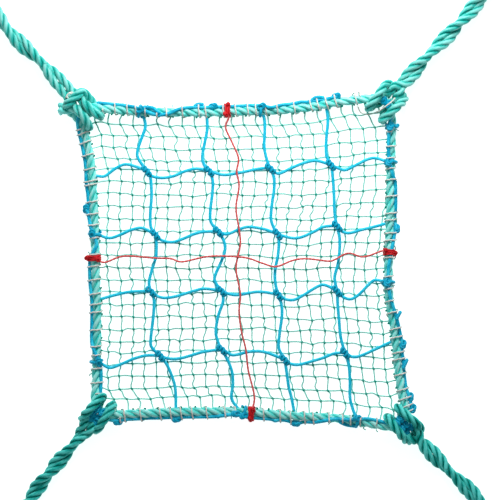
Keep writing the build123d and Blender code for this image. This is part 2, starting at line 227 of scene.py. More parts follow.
COLUMN_POINTS = [
    [(-171, 247), (-164, 238), (-161, 223), (-166, 207), (-173, 187), (-174, 174),
     (-166, 160), (-159, 150), (-153, 140), (-151, 111), (-153, 80), (-152, 59),
     (-145, 46), (-143, 28), (-144, 10), (-150, -10), (-155, -31), (-152, -47),
     (-147, -60), (-148, -86), (-152, -121), (-151, -137), (-137, -152), (-126, -166),
     (-117, -187), (-112, -207), (-111, -243)],
    [(-61, 245), (-60, 220), (-64, 197), (-68, 174), (-65, 160), (-57, 150), (-51, 134),
     (-52, 111), (-55, 86), (-54, 67), (-42, 51), (-33, 36), (-31, 21), (-37, 3),
     (-47, -20), (-47, -31), (-37, -46), (-34, -62), (-42, -86), (-46, -112),
     (-42, -130), (-36, -142), (-28, -156), (-20, -176), (-18, -197), (-20, -222),
     (-5, -243)],
    [(28, 249), (33, 236), (34, 215), (33, 191), (37, 170), (43, 154), (49, 139),
     (49, 119), (46, 99), (44, 73), (49, 57), (55, 47), (57, 31), (55, 10), (51, -10),
     (51, -31), (56, -52), (61, -67), (62, -86), (58, -116), (57, -139), (66, -158),
     (70, -181), (73, -202), (78, -222), (83, -250)],
    [(134, 257), (137, 233), (135, 210), (134, 191), (135, 174), (142, 160), (145, 140),
     (147, 111), (148, 82), (152, 60), (156, 41), (156, 20), (153, -3), (148, -24),
     (152, -46), (153, -67), (155, -91), (158, -121), (165, -147), (171, -166),
     (173, -191), (173, -218), (176, -233), (184, -257)],
]
KNOT_POINTS = [
    [(-159, 150), (-57, 150), (43, 154), (142, 160)],
    [(-145, 46), (-42, 51), (55, 47), (152, 60)],
    [(-152, -47), (-37, -46), (56, -52), (152, -46)],
    [(-137, -152), (-36, -142), (66, -158), (165, -147)],
]
MARKER_COLUMN = [
    (-27, 249), (-25, 237), (-30, 221), (-20, 198), (-9, 171), (-12, 149), (-8, 126),
    (-13, 90), (-8, 55), (-6, 30), (-13, -8), (-6, -50), (-8, -79), (-4, -112),
    (3, -141), (7, -175), (17, -218), (12, -243),
]
MARKER_ROW = [
    (-243, 8), (-227, 1), (-196, 11), (-144, 8), (-119, 7), (-100, 2), (-55, 11),
    (0, 9), (29, 0), (52, -6), (79, 4), (102, 7), (137, 3), (149, 6), (170, 16),
    (195, 10), (226, 20), (236, 18),
]
MARKER_ENDS = {"top": MARKER_COLUMN[0], "bottom": MARKER_COLUMN[-1], "left": MARKER_ROW[0],
               "right": MARKER_ROW[-1]}

# How far lines of fine knots are pulled to the right and up, by their number from the
# bottom: right at the left edge, right at the right edge, up at the left, up at the right
FINE_PULL = {
    0: (12, 0, 0, 0), 1: (11, -1, 7, 7.5), 2: (1, -2, 2, 7.5), 3: (0, -3, 1, 8.5), 4: (0, -3, 3, 9),
    5: (0, -3, 2, 6), 6: (1, -2, 0, 3), 7: (2.5, -1, 0, 1), 9: (2.5, -1, 0, 0),
    10: (3.7, 0, 0, 0), 11: (3.5, 0, 0, 0), 12: (0.5, -2, 0, 0), 14: (2, 2, 0, 0),
    16: (3.5, 7, 0, 0), 18: (6.2, 13, 0, 0), 19: (8.5, 14.5, 0, 0), 20: (8.2, 15, 0, -2),
    21: (6, 17.5, -3.5, -5), 22: (2.2, 16, -3, -5.5), 23: (7.5, 12.5, -3.2, -5.5),
    24: (1.5, 2, -5, -5), 25: (0, 0, 0, 0),
}

# ---------------------------------------------------------------- routes


def along(degrees):
    angle = math.radians(degrees)
    return Vector((math.cos(angle), math.sin(angle), 0))


def as_line(points):
    return np.array([tuple(p) for p in points], dtype=float)


def smooth(points, steps=10):
    """Points along the NURBS curve with these control points."""
    data = bpy.data.curves.new("route", "CURVE")
    data.dimensions = "3D"
    data.resolution_u = steps
    spline = data.splines.new("NURBS")
    spline.points.add(len(points) - 1)
    for place, point in zip(spline.points, points):
        place.co = (*point, 1)
    spline.order_u = 3
    spline.use_endpoint_u = True
    holder = bpy.data.objects.new("route", data)
    mesh = bpy.data.meshes.new_from_object(holder)
    line = as_line(v.co for v in mesh.vertices)
    bpy.data.objects.remove(holder)
    bpy.data.curves.remove(data)
    bpy.data.meshes.remove(mesh)
    return line


def through(points, steps=6):
    """A Catmull-Rom curve through the points."""
    p = as_line(points)
    p = np.vstack([2 * p[0] - p[1], p, 2 * p[-1] - p[-2]])
    share = np.linspace(0, 1, steps, endpoint=False)[:, None]
    pieces = []
    for a, b, c, d in zip(p, p[1:], p[2:], p[3:]):
        pieces.append(0.5 * (2 * b + (c - a) * share + (2 * a - 5 * b + 4 * c - d) * share**2
                             + (3 * b - a - 3 * c + d) * share**3))
    return np.vstack(pieces + [p[-2:-1]])


def distances(line):
    return np.concatenate([[0], np.cumsum(np.linalg.norm(np.diff(line, axis=0), axis=1))])


def resample(line, step):
    far = distances(line)
    count = max(2, int(round(far[-1] / step)) + 1)
    want = np.linspace(0, far[-1], count)
    return np.stack([np.interp(want, far, line[:, k]) for k in range(3)], axis=1)


def unit(a):
    return a / np.maximum(np.linalg.norm(a, axis=-1, keepdims=True), 1e-12)


def transport(line):
    """Tangents, and normals that turn as little as they can."""
    tangent = unit(np.gradient(line, axis=0))
    normal = np.empty_like(line)
    before = np.array((0, 0, 1.0))
    if abs(np.dot(before, tangent[0])) > 0.95:
        before = np.array((1.0, 0, 0))
    for k, t in enumerate(tangent):
        before = unit(before - np.dot(before, t) * t)
        normal[k] = before
    return tangent, normal, np.cross(tangent, normal)


# ---------------------------------------------------------------- meshes


class Shape:
    """Tubes gathered into one mesh. Lines are in millimetres."""

    def __init__(self):
        self.verts, self.faces, self.uvs, self.depths, self.count = [], [], [], [], 0

    def tube(self, line, radius, sides=12, ref=None, ripple=0.0, yarns=0, spin=0.0, closed=False,
             axis=None, reach=1.0):
        """A tube along a line. Its yarns ripple its surface, and spin turns them. Axis is the
        middle of the rope that it is a strand of, and reach is that rope's radius."""
        line = np.asarray(line, dtype=float)
        n = len(line)
        radius = np.broadcast_to(np.asarray(radius, dtype=float), (n,))
        if ref is None:
            tangent, normal, side = transport(line)
        else:
            tangent = unit(np.gradient(line, axis=0))
            if closed:
                tangent = unit(np.roll(line, -1, axis=0) - np.roll(line, 1, axis=0))
            normal = unit(ref - np.sum(ref * tangent, axis=1, keepdims=True) * tangent)
            side = np.cross(tangent, normal)
        far = distances(line)
        round_it = np.linspace(0, 2 * math.pi, sides, endpoint=False)[None, :]
        angle = round_it + spin * far[:, None]
        size = radius[:, None] * (1 + ripple * np.cos(yarns * round_it))
        ring = (line[:, None] + size[..., None] * (np.cos(angle)[..., None] * normal[:, None]
                                                   + np.sin(angle)[..., None] * side[:, None]))
        # Each point's depth from the rope's axis, from which the materials paint shade between the strands
        # and highlight on their crests
        depth = np.ones((n, sides))
        if axis is not None:
            depth = np.linalg.norm(ring - axis[:, None], axis=-1) / reach

        rows = n if closed else n - 1
        k, s = np.arange(rows)[:, None], np.arange(sides)[None, :]
        k2, s2 = (k + 1) % n, (s + 1) % sides
        quads = np.stack([k * sides + s, k * sides + s2, k2 * sides + s2, k2 * sides + s], axis=-1)
        start = far[:rows, None]
        after = start + far[-1] / (n - 1)
        u = np.stack([s, s + 1, s + 1, s], axis=-1) / sides
        v = np.stack([start, start, after, after], axis=-1)
        corner_depths = np.stack([depth[k, s], depth[k, s2], depth[k2, s2], depth[k2, s]], axis=-1)
        self.verts.append(ring.reshape(-1, 3))
        self.faces.extend((self.count + quads.reshape(-1, 4)).tolist())
        self.uvs.append(np.stack(np.broadcast_arrays(u, v), axis=-1).reshape(-1, 2))
        self.depths.append(corner_depths.reshape(-1))
        if not closed:
            first, last = self.count, self.count + (n - 1) * sides
            self.faces.append(list(range(first, first + sides))[::-1])
            self.faces.append(list(range(last, last + sides)))
            self.uvs.append(np.zeros((2 * sides, 2)))
            # The caps get a fixed depth for the painted shade between strands
            self.depths.append(np.full(2 * sides, 0.85))
        self.count += n * sides

    def rounded(self, line, radius, sides=10, **more):
        """A tube whose two ends are rounded off."""
        line = np.asarray(line, dtype=float)
        far = distances(line)
        share = np.clip(np.minimum(far, far[-1] - far) / (0.9 * radius), 0, 1)
        self.tube(line, radius * (0.35 + 0.65 * np.sqrt(1 - (1 - share) ** 2)), sides, **more)

    def build(self, name, material, slot):
        verts = np.vstack(self.verts)
        verts[:, 2] = np.maximum(verts[:, 2], FLOOR_GAP)
        depths = np.concatenate(self.depths)
        mesh = bpy.data.meshes.new(name)
        mesh.from_pydata((verts * MM).tolist(), [], self.faces)
        for layer, values in (("UVMap", np.vstack(self.uvs)), ("Depth", np.stack([depths, depths], 1))):
            mesh.uv_layers.new(name=layer).data.foreach_set("uv", values.astype(np.float32).ravel())
        mesh.uv_layers["UVMap"].active_render = True
        mesh.polygons.foreach_set("use_smooth", [len(f) == 4 for f in self.faces])
        mesh.materials.append(material)
        mesh.update()
        piece = bpy.data.objects.new(name, mesh)
        bpy.context.collection.objects.link(piece)
        return piece

    def lie_in_net(self, name, material, slot, replaced):
        """Build the piece as a part of the net, in the place of a CAD node."""
        piece = self.build(name, material, slot)
        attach(piece, "net")
        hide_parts(replaced)


def lay_strands(shape, line, start, stop, splay=(0.0, 0.0)):
    """A stretch of laid rope round a line. At the line's two ends the strands may splay."""
    _, normal, side = transport(line)
    far = distances(line)
    radius = ROPE_OVER_STRANDS / 2
    strand_r = radius / 2
    spread = np.zeros(len(line))
    for amount, gap in zip(splay, (far, far[-1] - far)):
        spread += amount * np.clip(1 - gap / SPLAY_LENGTH, 0, 1) ** 1.5
    offset = (radius - strand_r) * (1 + spread)
    size = strand_r * (1 + 0.18 * spread)
    for k in range(STRANDS):
        turn = 2 * math.pi * (far / ROPE_LAY + k / STRANDS)
        centre = line + offset[:, None] * (np.cos(turn)[:, None] * normal + np.sin(turn)[:, None] * side)
        shape.tube(centre[start:stop], size[start:stop], 24, ref=normal[start:stop], ripple=0.022,
                   yarns=STRAND_YARNS, axis=line[start:stop], reach=radius)


# ---------------------------------------------------------------- materials


def add_node(tree, kind, inputs, **settings):
    """A shader node, whose inputs are numbers or other nodes' outputs."""
    made = tree.nodes.new(kind)
    for key, value in settings.items():
        setattr(made, key, value)
    for key, value in inputs.items():
        if isinstance(value, bpy.types.NodeSocket):
            tree.links.new(value, made.inputs[key])
        else:
            made.inputs[key].default_value = value
    return made


def twine_material(name, dark, mid, light, stretch=(9.0, 0.05), fibres=(60.0, 0.25), bump=0.25,
                   roughness=0.42, specular=0.2, strand_shade_and_highlight=0.0, ends=(0.30, 0.72)):
    """Plastic fibre: streaks that run along the yarns, uneven in colour, gloss and height,
    and painted shade where the strands of a laid rope meet, with painted highlight on their crests."""
    material = bpy.data.materials.new(name)
    material.use_nodes = True
    tree = material.node_tree
    uv = add_node(tree, "ShaderNodeUVMap", {}, uv_map="UVMap").outputs["UV"]

    def streaks(scale, detail):
        mapping = add_node(tree, "ShaderNodeMapping", {"Vector": uv, "Scale": (*scale, 1)})
        noise = {"Vector": mapping.outputs["Vector"], "Scale": 1.0, "Detail": detail}
        return add_node(tree, "ShaderNodeTexNoise", noise).outputs["Fac"]

    def mix(share, a, b):
        both = {"Factor": share, "A": a, "B": b}
        return add_node(tree, "ShaderNodeMix", both, data_type="FLOAT").outputs["Result"]

    def spread(value, low, high, to_low=0.0, to_high=1.0):
        span = {"Value": value, "From Min": low, "From Max": high, "To Min": to_low, "To Max": to_high}
        return add_node(tree, "ShaderNodeMapRange", span).outputs["Result"]

    fine = streaks(fibres, 3.0)
    tone = mix(0.45, streaks(stretch, 2.0), fine)
    # Painted shade and highlight: the depth from the rope's axis darkens the colour in the grooves between
    # strands and lightens it on their crests
    if strand_shade_and_highlight:
        depth = add_node(tree, "ShaderNodeUVMap", {}, uv_map="Depth").outputs["UV"]
        parts = add_node(tree, "ShaderNodeSeparateXYZ", {"Vector": depth})
        strand_shade_highlight_mask = spread(parts.outputs["X"], 0.55, 1.0, 0.0, 0.82)
        tone = mix(strand_shade_and_highlight, spread(tone, 0.3, 0.7), strand_shade_highlight_mask)
    ramp = add_node(tree, "ShaderNodeValToRGB", {"Fac": tone})
    colours = ramp.color_ramp.elements
    colours.new(0.5)
    for stop, place, colour in zip(colours, (ends[0], 0.5, ends[1]), (dark, mid, light)):
        stop.position = place
        stop.color = (*colour, 1)
    relief = add_node(tree, "ShaderNodeBump", {"Height": fine, "Strength": bump, "Distance": 0.0004})
    shader = tree.nodes["Principled BSDF"]
    shader.inputs["Specular IOR Level"].default_value = specular
    tree.links.new(ramp.outputs["Color"], shader.inputs["Base Color"])
    tree.links.new(spread(fine, 0.0, 1.0, roughness - 0.12, roughness + 0.18), shader.inputs["Roughness"])
    tree.links.new(relief.outputs["Normal"], shader.inputs["Normal"])
    return material


# The pale end of the turquoise ramps is painted highlight: the noise spreads it in random streaks, and the
# strand weight puts it on the strands' crests
ROPE = twine_material("turquoise_rope", (0.01, 0.54, 0.49), (0.10, 0.79, 0.72), (0.44, 0.91, 0.87),
                      stretch=(2.5, 0.03), roughness=0.36, specular=0.22, strand_shade_and_highlight=0.38)
# Painted light: the ties are one rope in two copies, a lighter one for the top corners and a darker one,
# painted shade, for the bottom corners
ROPE_TIE = twine_material("turquoise_tie", (0.0, 0.32, 0.27), (0.02, 0.53, 0.46), (0.26, 0.76, 0.70),
                          stretch=(2.5, 0.03), roughness=0.36, specular=0.22, strand_shade_and_highlight=0.5)
ROPE_TIE_PAINTED_SHADE = twine_material("turquoise_tie_painted_shade", (0.0, 0.13, 0.105), (0.0, 0.42, 0.365),
                           (0.14, 0.82, 0.76), stretch=(2.5, 0.03), roughness=0.36, specular=0.1,
                           strand_shade_and_highlight=0.5)
BLUE = twine_material("blue_cord", (0.0, 0.46, 0.72), (0.010, 0.66, 0.92), (0.09, 0.80, 0.98),
                      stretch=(3.0, 0.03), fibres=(22.0, 0.5), bump=0.15)
BLUE_EDGE = twine_material("blue_edge_cord", (0.0, 0.33, 0.54), (0.0, 0.53, 0.78), (0.05, 0.74, 0.94),
                           stretch=(1.0, 0.03), fibres=(14.0, 0.5), bump=0.15, ends=(0.40, 0.62))
BLUE_KNOT = twine_material("blue_knot", (0.0, 0.27, 0.44), (0.0, 0.42, 0.64), (0.004, 0.56, 0.80),
                           stretch=(3.0, 0.12), fibres=(22.0, 0.6), bump=0.15)
GREEN = twine_material("green_twine", (0.23, 0.67, 0.57), (0.33, 0.78, 0.68), (0.46, 0.87, 0.79),
                       stretch=(2.0, 0.3), fibres=(8.0, 1.5), bump=0.1)
GREEN_KNOT = twine_material("green_knot", (0.0, 0.27, 0.20), (0.01, 0.38, 0.29), (0.03, 0.50, 0.40),
                            stretch=(2.0, 0.6), fibres=(8.0, 2.0), bump=0.15)
RED = twine_material("red_cord", (0.62, 0.045, 0.05), (0.82, 0.11, 0.115), (0.90, 0.22, 0.22),
                     stretch=(3.0, 0.15), fibres=(14.0, 1.0), bump=0.15)
RED_KNOT = twine_material("red_knot", (0.42, 0.002, 0.006), (0.66, 0.010, 0.017), (0.84, 0.045, 0.045),
                          stretch=(3.0, 0.15), fibres=(14.0, 1.0), bump=0.15)
WHITE = twine_material("lashing_twine", (0.62, 0.56, 0.48), (0.82, 0.79, 0.74), (0.93, 0.92, 0.90),
                       stretch=(4.0, 0.3), fibres=(16.0, 1.2), bump=0.25, roughness=0.6)

# ---------------------------------------------------------------- border


def corner_point(name):
    return Vector((*CORNERS[name].place, CORNER_Z))


def border_height(x, y):
    """The rope's middle rises from the sides to the corners, where the hitches pass under it."""
    reach = min(math.hypot(x - c.place[0], y - c.place[1]) for c in CORNERS.values())
    share = max(0.0, 1 - max(reach - CORNER_FLAT, 0) / CORNER_RISE)
    return SIDE_Z + (CORNER_Z - SIDE_Z) * share**2


def side_route(side):
    """A side's points, with two more at each corner, so that the rope runs straight through it."""
    points = SIDE_POINTS[side]
    ends = []
    for corner, near in zip(SIDE_CORNERS[side], (points[0], points[-1])):
        centre = corner_point(corner)
        across = along(CORNERS[corner].direction + 90) * 12
        near = Vector((*near, 0))
        ends.append([centre, min((centre + across, centre - across), key=lambda p: (p - near).length)])
    return ends[0] + [Vector((x, y, border_height(x, y))) for x, y in points] + ends[1][::-1]


routes = {side: side_route(side) for side in SIDE_POINTS}
side_lines = {side: resample(smooth(routes[side]), 1.0) for side in routes}
all_sides = np.vstack(list(side_lines.values()))


def net_height(x, y, rest, lift=0.0):
    """The net lies at its rest height, and rises to the border's ropes near them."""
    gap = np.hypot(all_sides[:, 0] - x, all_sides[:, 1] - y)
    nearest = int(np.argmin(gap))
    rise = float(all_sides[nearest, 2]) + lift - rest
    return rest + rise * max(0.0, 1 - float(gap[nearest]) / NET_RISE) ** 2


def lay(points, rest, lift=0.0):
    return [(x, y, net_height(x, y, rest, lift)) for x, y in points]


def side_frame(side, share):
    """Point, direction and outward side at a share of a side's line."""
    line = side_lines[side]
    k = min(len(line) - 2, max(0, int(share * (len(line) - 1))))
    forward = unit(line[k + 1] - line[k])
    outward = unit(np.array((-forward[1], forward[0], 0)))
    return line[k], forward, outward


def nearest_index(line, point):
    return int(np.argmin(np.linalg.norm(line - np.array(tuple(point)), axis=1)))


# From the cut end past the top left corner, all round, and back to the corner a little lower
ring_points = [Vector((x, y, CORNER_Z + 2)) for x, y in BORDER_TAIL[::-1]] + routes["top"][1:-1]
for side in ("right", "bottom", "left"):
    ring_points += routes[side][:-1]
ring_points.append(corner_point("top_left") + Vector((12, 4, -4)))
ring = resample(smooth(ring_points, 14), 1.8)
tail_end = Vector((*BORDER_TAIL[0], CORNER_Z)) - Vector((0, 2, 0))
turns = [tail_end] + [corner_point(name) for name in ("top_right", "bottom_right", "bottom_left")]
cuts = [0] + [nearest_index(ring, turn) for turn in turns] + [len(ring) - 1]
for name, a, b in zip(("tail", "top", "right", "bottom", "left"), cuts, cuts[1:]):
    shape = Shape()
    lay_strands(shape, ring, a, b + 1, splay=(1.0, 0))
    shape.lie_in_net(f"border_rope_{name}_laid", ROPE, "turquoise_rope", f"border_rope_{name}")

# ---------------------------------------------------------------- edge cord and lashing


def side_place(side, distance):
    """Point, direction and outward side at a distance along a side."""
    return side_frame(side, (distance + FIRST_GAP) / distances(side_lines[side])[-1])


def round_rope(side, distance, angle, reach):
    """A place round a side's rope: 0 degrees outside, 90 on top, 180 inside."""
    here, _, outward = side_place(side, distance)
    a = math.radians(angle)
    return here + (outward * math.cos(a) + np.array((0, 0, 1)) * math.sin(a)) * reach


def over_floor(place, diameter):
    place[2] = max(place[2], diameter / 2)
    return place


def add_edge_cord(shape, side, stops, step, sides, **yarns):
    places = [over_floor(round_rope(side, d, a, EDGE_CORD_REACH + off), EDGE_CORD_D + FLOOR_ROOM)
              for d, a, off in stops]
    shape.rounded(resample(through(places), step), EDGE_CORD_D / 2, sides, **yarns)


def wrap_radius(turned, cord_reach, cord_r):
    """How far a twine stands from the rope's axis where it also goes round a cord beside it."""
    share = np.linspace(0, 1, 21)
    size = ROPE_R + (cord_r - ROPE_R) * share
    inside = size**2 - (share * cord_reach * math.sin(turned)) ** 2
    far = share * cord_reach * math.cos(turned) + np.sqrt(np.maximum(inside, 0))
    return float(np.max(np.where(inside >= 0, far, 0)))


def twine_round(side, distance, turned, diameter):
    """A place of a twine that goes round a side's rope and its cord."""
    at, angles, offs = zip(*EDGE_CORDS[side])
    cord_angle = float(np.interp(distance, at, angles))
    cord_reach = EDGE_CORD_REACH + float(np.interp(distance, at, offs))
    reach = wrap_radius(math.radians(turned - cord_angle), cord_reach, EDGE_CORD_D / 2)
    return over_floor(round_rope(side, distance, turned, reach + diameter / 2), diameter)


def lashing_wrap(side, here, after, steps=16):
    """One turn of the lashing: from the rope's top down its inside, then under it to the next."""
    places = []
    for step in range(steps):
        turned = 90 + 360 * step / steps
        if turned <= 180:
            distance = here + LASHING_SLANT / 2 * (turned - 90) / 90
        elif turned <= 360:
            distance = here + LASHING_SLANT / 2 + (after - here - LASHING_SLANT) * (turned - 180) / 180
        else:
            distance = after - LASHING_SLANT / 2 * (450 - turned) / 90
        places.append(twine_round(side, distance, turned, LASHING_D))
    return places


for side, stops in EDGE_CORDS.items():
    shape = Shape()
    add_edge_cord(shape, side, stops, 2.0, 14, ripple=0.03, yarns=6, spin=0.25)
    for tail_side, tail in EDGE_TAILS:
        if tail_side == side:
            add_edge_cord(shape, side, tail, 1.2, 12, ripple=0.04, yarns=5, spin=0.3)
    shape.lie_in_net(f"edge_cord_{side}_round", BLUE_EDGE, "blue_cord", f"edge_cord_{side}")

    shape = Shape()
    at = LASHINGS_AT[side]
    spiral = []
    for here, after in zip(at, at[1:] + [at[-1] + 8]):
        spiral += lashing_wrap(side, here, after)
    for line in [spiral] + LASHING_ENDS.get(side, []):
        shape.rounded(resample(through(line, 3), 1.2), LASHING_D / 2, 8, ripple=0.08, yarns=2, spin=1.2)
    shape.lie_in_net(f"lashing_{side}_spiral", WHITE, "lashing_twine", f"lashing_{side}")

# ---------------------------------------------------------------- coarse net

for kind, lines in (("row", ROW_POINTS), ("column", COLUMN_POINTS)):
    for number, points in enumerate(lines, 1):
        shape = Shape()
        shape.rounded(resample(through(lay(points, COARSE_Z), 10), 0.3 * CORD_D), CORD_D / 2, 14,
                      ripple=0.03, yarns=6, spin=1.1 / CORD_D)
        shape.lie_in_net(f"coarse_{kind}_{number}", BLUE, "blue_cord", f"mesh_{kind}_{number}")


def knot_axes(lean):
    return along(lean), along(lean + 90), Vector((0, 0, 1))


def add_knot(shape, place, cord, lean, sides=12, rings=28, spread=0.7, long=1.15, wide=0.62):
    """Two loops pulled through each other, along the lean."""
    u, v, up = knot_axes(lean)
    for side in (-1, 1):
        loop = []
        for k in range(rings):
            t = 2 * math.pi * k / rings
            a = side * spread + long * math.cos(t)
            b = wide * math.sin(t) * (1 + 0.12 * math.cos(t) * side)
            h = 0.42 * math.cos(t) + 0.12 * math.sin(2 * t)
            loop.append(Vector(place) + (u * a + v * b + up * h) * cord)
        shape.tube(as_line(loop), cord / 2, sides, ref=as_line([up] * rings), ripple=0.03, yarns=6,
                   closed=True)


def add_small_knot(shape, place, cord, lean):
    add_knot(shape, place, cord, lean, sides=6, rings=9, spread=0.3, long=0.55, wide=0.5)


def add_mesh_knot(shape, place, lean, turns=2.1, steps=44):
    """A netting knot: both cords run along the lean, and one turns round the other."""
    u, v, up = knot_axes(lean)
    coil = []
    for k in range(steps + 1):
        t = k / steps
        angle = 2 * math.pi * turns * t - 0.6
        fat = 0.72 + 0.28 * math.sin(math.pi * t)
        a = (t - 0.5) * MESH_KNOT_LENGTH + 1.6 * math.sin(angle)
        b = 3.7 * fat * math.cos(angle)
        h = 3.3 * fat * math.sin(angle)
        coil.append(Vector(place) + u * a + v * b + up * h)
    bights = []
    for side in (-1, 1):
        bight = []
        for k in range(13):
            t = math.pi * k / 12
            a = side * (4.6 + 4.6 * math.sin(t))
            b = 3.1 * math.cos(t)
            h = 1.4 + 1.3 * math.sin(t * 2) * side
            bight.append(Vector(place) + u * a + v * b + up * h)
        bights.append(bight)
    for line in [coil] + bights:
        shape.rounded(resample(as_line(line), 1.0), MESH_KNOT_CORD_D / 2, 12, ripple=0.03, yarns=6,
                      spin=0.2)


def turn_round_rope(here, forward, outward, diameter, steps=14):
    """One turn of a cord round the border's rope, from its inner side."""
    reach = ROPE_R + diameter / 2 - 0.3
    places = []
    for step in range(steps + 1):
        share = step / steps
        angle = 2 * math.pi * share
        place = here + forward * (share - 0.5) * 1.1 * diameter - outward * math.cos(angle) * reach
        place[2] += math.sin(angle) * reach
        places.append(over_floor(place, diameter + FLOOR_ROOM))
    return places


shape = Shape()
for row in KNOT_POINTS:
    for x, y in row:
        add_mesh_knot(shape, (x, y, COARSE_Z + 0.9), MESH_KNOT_LEAN + CHANCE.uniform(-7, 7))
shape.lie_in_net("coarse_knots_tied", BLUE_KNOT, "blue_cord", "mesh_knots")

shape = Shape()
for side, distance, angle, off, turned in EDGE_KNOTS:
    here, forward, outward = side_place(side, distance)
    lean = math.degrees(math.atan2(forward[1], forward[0])) + CHANCE.uniform(-30, 30)
    add_knot(shape, round_rope(side, distance, angle, ROPE_R + CORD_D / 2 + off), TIGHT_CORD_D, lean,
             rings=30, spread=0.38, long=0.85, wide=0.72)
    if turned:
        turn = turn_round_rope(here, forward, outward, CORD_D)
        shape.rounded(resample(through(turn, 4), 1.6), CORD_D / 2, 12)
for name, sideways, inward, up in EYE_KNOTS:
    corner = CORNERS[name]
    forward = along(corner.direction)
    aside = along(corner.direction + 90)
    place = corner_point(name) + aside * sideways - forward * inward + Vector((0, 0, ROPE_R + up))
    for shift in (-EYE_KNOT_SHIFT, EYE_KNOT_SHIFT):
        add_knot(shape, place + aside * shift, TIGHT_CORD_D, corner.direction + CHANCE.uniform(-25, 25),
                 rings=30, spread=0.3, long=0.75, wide=0.55)
shape.lie_in_net("edge_knots_tied", BLUE_KNOT, "blue_cord", "edge_knots")

# ---------------------------------------------------------------- fine net


def side_at(side, share):
    here, _, _ = side_frame(side, share)
    return Vector((here[0], here[1]))


def fine_node(i, j):
    u = i / FINE_CELLS
    v = j / FINE_CELLS
    top, bottom = side_at("top", u), side_at("bottom", 1 - u)
    left, right = side_at("left", v), side_at("right", 1 - v)
    low = side_at("left", 0) * (1 - u) + side_at("right", 1) * u
    high = side_at("left", 1) * (1 - u) + side_at("right", 0) * u
    place = top * v + bottom * (1 - v) + left * (1 - u) + right * u - low * (1 - v) - high * v
    slack = FINE_SLACK * min(1, 5 * u * (1 - u)) * min(1, 5 * v * (1 - v))
    return place + Vector((slack * math.sin(2.7 * i + 1.9 * j), slack * math.sin(1.3 * i - 3.1 * j)))


def fine_pull(i, j):
    """How far a fine knot is pulled to the right and up by the lines that it is on."""
    u = i / FINE_CELLS
    pulls = [float(np.interp(j, list(FINE_PULL), column)) for column in zip(*FINE_PULL.values())]
    pull = (pulls[0] * (1 - u) + pulls[1] * u) * (0 < i < FINE_CELLS)
    rise = (pulls[2] * (1 - u) + pulls[3] * u) * (0 < j < FINE_CELLS)
    return pull, rise


lattice = {}
for i in range(FINE_CELLS + 1):
    for j in range(FINE_CELLS + 1):
        pull, rise = fine_pull(i, j)
        jitter = FINE_JITTER if 0 < i < FINE_CELLS and 0 < j < FINE_CELLS else 0.0
        shift = Vector((pull + CHANCE.gauss(0, jitter), rise + CHANCE.gauss(0, jitter)))
        lattice[i, j] = fine_node(i, j) + shift


def fine_line(nodes, across):
    """One twine through its knots, with the slack of each mesh side."""
    flat = []
    for k, (a, b) in enumerate(zip(nodes, nodes[1:])):
        run = b - a
        beside = Vector((-run.y, run.x)).normalized()
        flat.append(a)
        if across:
            flat.append(a + run * 0.5 + beside * CHANCE.gauss(0.5, 0.8))
        else:
            bend = CHANCE.gauss(1.0, 0.8)
            flat.append(a + run * 0.33 + beside * bend)
            flat.append(a + run * 0.68 - beside * bend * 0.6)
    flat.append(nodes[-1])
    return flat


twines = {"fine_rows": Shape(), "fine_columns": Shape()}
for n in range(1, FINE_CELLS):
    for name, nodes, rest in (
        ("fine_rows", [lattice[i, n] for i in range(FINE_CELLS + 1)], FINE_Z),
        ("fine_columns", [lattice[n, j] for j in range(FINE_CELLS + 1)], FINE_Z + 0.3),
    ):
        flat = fine_line(nodes, name == "fine_rows")
        points = [(p.x, p.y, net_height(p.x, p.y, rest) - 0.2) for p in flat]
        twines[name].tube(through(points, 3), FINE_D / 2, 6)
for name, shape in twines.items():
    shape.lie_in_net(name + "_wavy", GREEN, "green_twine", name)

shape = Shape()
for i in range(1, FINE_CELLS):
    for j in range(1, FINE_CELLS):
        p = lattice[i, j]
        place = (p.x, p.y, net_height(p.x, p.y, FINE_KNOT_Z))
        lean = CHANCE.choice(FINE_KNOT_LEANS) + CHANCE.uniform(-14, 14)
        add_small_knot(shape, place, FINE_KNOT_CORD_D, lean)
# Each twine is also knotted round the border, at the rope's inner edge
for side, line in side_lines.items():
    length = distances(line)[-1]
    for k in range(1, FINE_CELLS):
        distance = length * k / FINE_CELLS + CHANCE.uniform(-2, 2)
        if FINE_END_GAP < distance < length - FINE_END_GAP:
            place = round_rope(side, distance, FINE_END_ANGLE, ROPE_R + 0.8)
            add_small_knot(shape, place, FINE_END_CORD_D, CHANCE.uniform(0, 180))
            if CHANCE.random() < TUFT_CHANCE:
                tuft = [round_rope(side, distance, 10, ROPE_R),
                        round_rope(side, distance + CHANCE.uniform(-2, 2), 15, ROPE_R + 2.6),
                        round_rope(side, distance + CHANCE.uniform(-5, 5), 10, ROPE_R + 4.6)]
                shape.rounded(resample(through(tuft, 4), 0.8), TUFT_R, 6)
shape.lie_in_net("fine_knots_tied", GREEN_KNOT, "green_twine", "fine_knots")

# ---------------------------------------------------------------- marker cords

for name, points, rest in (("marker_column", MARKER_COLUMN, MARKER_Z),
                           ("marker_row", MARKER_ROW, MARKER_Z + MARKER_D)):
    shape = Shape()
    line = resample(through(lay(points, rest, ROPE_R + MARKER_D / 2)), 0.9)
    shape.tube(line, 0.47 * MARKER_D, 12, ripple=0.1, yarns=2, spin=0.5)
    shape.lie_in_net(name + "_laid", RED, "red_cord", name)

